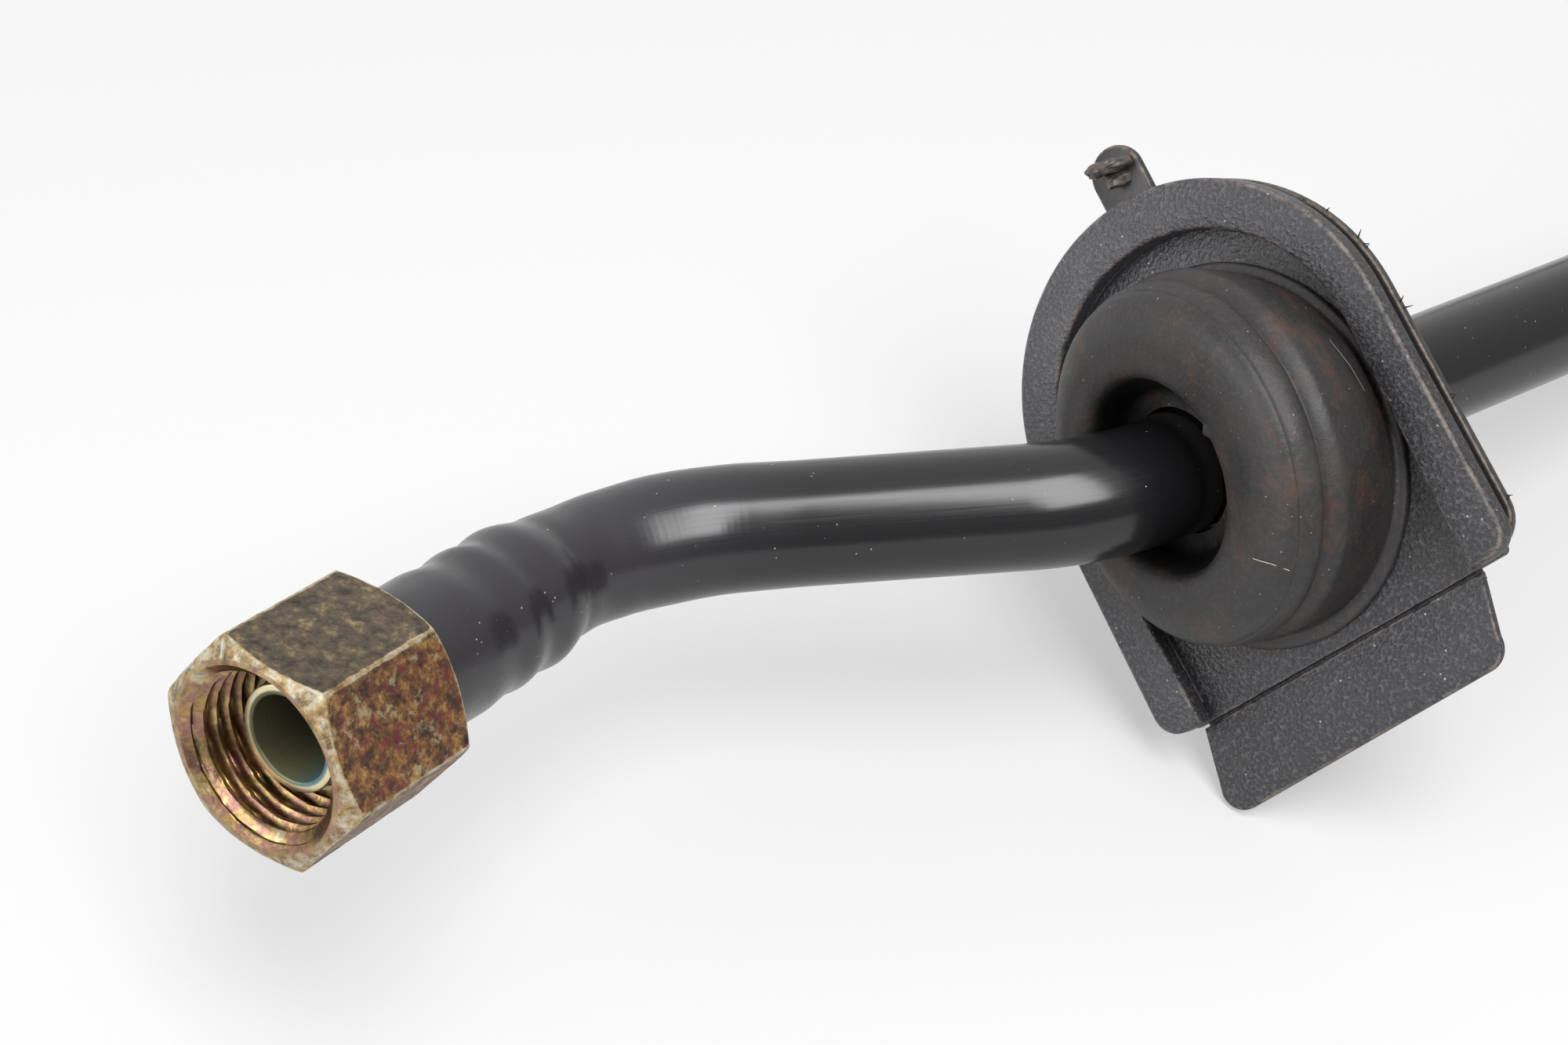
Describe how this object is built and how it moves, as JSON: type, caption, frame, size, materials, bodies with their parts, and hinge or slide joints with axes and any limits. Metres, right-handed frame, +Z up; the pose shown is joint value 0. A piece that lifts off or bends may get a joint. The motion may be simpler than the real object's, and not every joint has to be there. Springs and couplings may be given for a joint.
{
  "type": "brake booster line",
  "caption": "Jacketed steel vacuum tube with a union nut at one end, bent through a round-topped bulkhead plate in a rolled rubber grommet.",
  "frame": {"origin": "middle of the footprint, on the surface the line lies on", "axes": "+Z up off the surface; +Y the way the camera of the picture looks, seen from above; +X to its right"},
  "size_m": [0.2538, 0.3012, 0.0523],
  "materials": {
    "steel_tube": "yellow zinc plated, dull",
    "tube_jacket": "smooth and glossy, lightly dusty",
    "union_nut": "worn yellow zinc with brown rust",
    "cutting_ring": "yellow zinc plated",
    "bulkhead_plate": "fine spark-eroded grain, edges worn brown",
    "rear_flange": "matte, torn ear",
    "grommet": "matte, dusty, rust stained at the hole"
  },
  "bodies": {
    "line": {"steel_tube": "steel_tube", "tube_jacket": "tube_jacket", "cutting_ring": "cutting_ring", "bulkhead_plate": "bulkhead_plate", "rear_flange": "rear_flange", "grommet": "grommet"},
    "nut": {"union_nut": "union_nut"}
  },
  "joints": [
    {"name": "nut_spin", "type": "hinge", "parent": "line", "child": "nut", "pos_m": [-0.1164, -0.14192, 0.03628], "axis": [-0.5451, -0.8011, 0.2472], "continuous": true}
  ]
}
